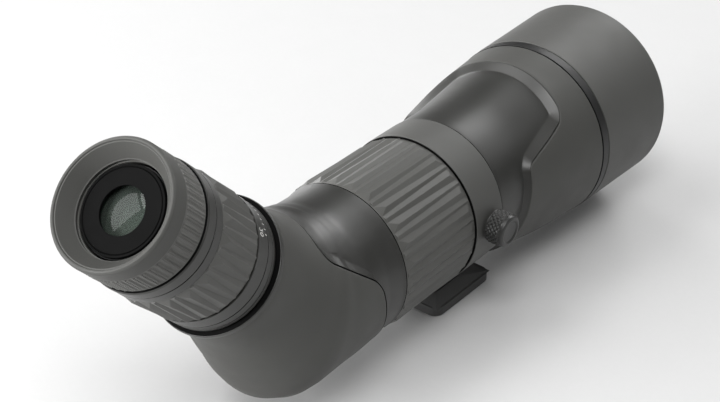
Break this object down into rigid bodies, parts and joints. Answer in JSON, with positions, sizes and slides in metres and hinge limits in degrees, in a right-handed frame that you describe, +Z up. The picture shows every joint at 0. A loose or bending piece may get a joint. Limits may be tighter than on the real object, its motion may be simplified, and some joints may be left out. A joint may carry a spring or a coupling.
{
  "type": "angled spotting scope",
  "caption": "Angled zoom spotting scope with faceted focus ring, twist-up eyecup, sliding sunshade and a rotating collar on a dovetail tripod foot.",
  "frame": {"origin": "centre of the flat underside of the mount foot", "axes": "+Y is the viewing direction along the barrel, +Z is up out of the foot, +X is the side of the lock knob"},
  "size_m": [0.0844, 0.3218, 0.1444],
  "materials": {
    "painted_metal": "matte grey-green paint",
    "hood_paint": "matte grey-green paint, fine texture",
    "rubber_armour": "matte grey-green rubber",
    "rubber_grip": "satin grey-green rubber, faceted",
    "eyecup_shell": "knurled grey-green plastic",
    "eyecup_rubber": "soft matte rubber",
    "trim_black": "satin black",
    "inner_black": "matte black anodised",
    "anodised": "black anodised",
    "foot_black": "black anodised, fine blasted",
    "knob": "knurled, dark grey anodised",
    "steel": "turned steel",
    "brass": "turned brass",
    "nylon_liner": "natural nylon",
    "seal": "matte black rubber",
    "optical_glass": "clear, green coating"
  },
  "bodies": {
    "mount": {"collar_ring": "painted_metal", "collar_liner": "nylon_liner", "mount_foot": "foot_black", "foot_screw_rear": "steel", "foot_screw_front": "steel", "tripod_insert": "brass"},
    "lock_shoe": {"lock_shoe": "nylon_liner"},
    "lock_knob": {"lock_knob": "knob", "lock_stud": "steel"},
    "scope_body": {"main_tube": "anodised", "rear_housing": "painted_metal", "rear_armour": "rubber_armour", "prism_plate": "anodised", "roof_prism": "optical_glass", "prism_strap": "steel", "front_barrel": "painted_metal", "front_armour": "rubber_armour", "trim_band": "trim_black", "objective_cell": "inner_black", "objective_seal": "seal", "objective_rear_lens": "optical_glass", "objective_spacer": "brass", "objective_front_lens": "optical_glass", "objective_retainer": "inner_black", "hood_friction_ring": "seal", "eyepiece_flange": "painted_metal", "index_ring": "painted_metal", "zoom_stop_ring": "painted_metal", "eyepiece_barrel": "anodised", "field_stop": "inner_black", "eye_lens_cell": "inner_black", "eye_lens_inner": "optical_glass", "eye_lens_spacer": "inner_black", "eye_lens_outer": "optical_glass", "eye_lens_cap": "inner_black"},
    "focus_ring": {"focus_ring": "anodised", "focus_grip": "rubber_grip"},
    "focus_carriage": {"focus_cell": "inner_black", "focus_lens": "optical_glass", "focus_lens_retainer": "inner_black", "focus_pin": "steel"},
    "sunshade": {"sunshade": "hood_paint"},
    "zoom_ring": {"zoom_ring": "painted_metal", "zoom_grip": "rubber_grip", "zoom_cam_sleeve": "brass", "zoom_drive_screw": "steel"},
    "zoom_carriage_a": {"zoom_cell_a": "inner_black", "zoom_lens_a": "optical_glass"},
    "zoom_carriage_b": {"zoom_cell_b": "inner_black", "zoom_lens_b": "optical_glass"},
    "eyecup_carrier": {"eyecup_guide_ring": "nylon_liner"},
    "eyecup": {"eyecup_sleeve": "eyecup_shell", "eyecup_rubber": "eyecup_rubber"}
  },
  "joints": [
    {"name": "scope_rotation", "type": "hinge", "parent": "mount", "child": "scope_body", "pos_m": [0, -0.0069, 0.0446], "axis": [0, 1, 0], "continuous": true},
    {"name": "lock_shoe_slide", "type": "slide", "parent": "mount", "child": "lock_shoe", "axis": [1, 0, 0], "range_m": [0, 0.0008]},
    {"name": "lock_knob_turn", "type": "hinge", "parent": "lock_shoe", "child": "lock_knob", "pos_m": [0.035, -0.0063, 0.0468], "axis": [1, 0, 0], "range_deg": [0, 360]},
    {"name": "focus_turn", "type": "hinge", "parent": "scope_body", "child": "focus_ring", "pos_m": [0, -0.0395, 0.0446], "axis": [0, 1, 0], "range_deg": [-135, 135]},
    {"name": "focus_slide", "type": "slide", "parent": "scope_body", "child": "focus_carriage", "axis": [0, 1, 0], "range_m": [-0.004, 0.004]},
    {"name": "sunshade_slide", "type": "slide", "parent": "scope_body", "child": "sunshade", "axis": [0, 1, 0], "range_m": [0, 0.025]},
    {"name": "zoom_turn", "type": "hinge", "parent": "scope_body", "child": "zoom_ring", "pos_m": [0, -0.15403, 0.09763], "axis": [0, -0.7071, 0.7071], "range_deg": [-82, 48]},
    {"name": "zoom_slide_a", "type": "slide", "parent": "scope_body", "child": "zoom_carriage_a", "axis": [0, -0.7071, 0.7071], "range_m": [-0.0043, 0.00255]},
    {"name": "zoom_slide_b", "type": "slide", "parent": "scope_body", "child": "zoom_carriage_b", "axis": [0, -0.7071, 0.7071], "range_m": [-0.00186, 0.00316]},
    {"name": "eyecup_lift", "type": "slide", "parent": "scope_body", "child": "eyecup_carrier", "axis": [0, -0.7071, 0.7071], "range_m": [0, 0.01]},
    {"name": "eyecup_turn", "type": "hinge", "parent": "eyecup_carrier", "child": "eyecup", "pos_m": [0, -0.17525, 0.11885], "axis": [0, -0.7071, 0.7071], "range_deg": [0, 120]}
  ],
  "couplings": [
    {"joint": "lock_shoe_slide", "follows": "lock_knob_turn", "m_per_rad": 0.00012732},
    {"joint": "focus_slide", "follows": "focus_turn", "m_per_rad": 0.0016977},
    {"joint": "zoom_slide_a", "follows": "zoom_turn", "m_per_rad": 0.003},
    {"joint": "zoom_slide_b", "follows": "zoom_turn", "m_per_rad": -0.0022},
    {"joint": "eyecup_lift", "follows": "eyecup_turn", "m_per_rad": 0.0047746}
  ]
}
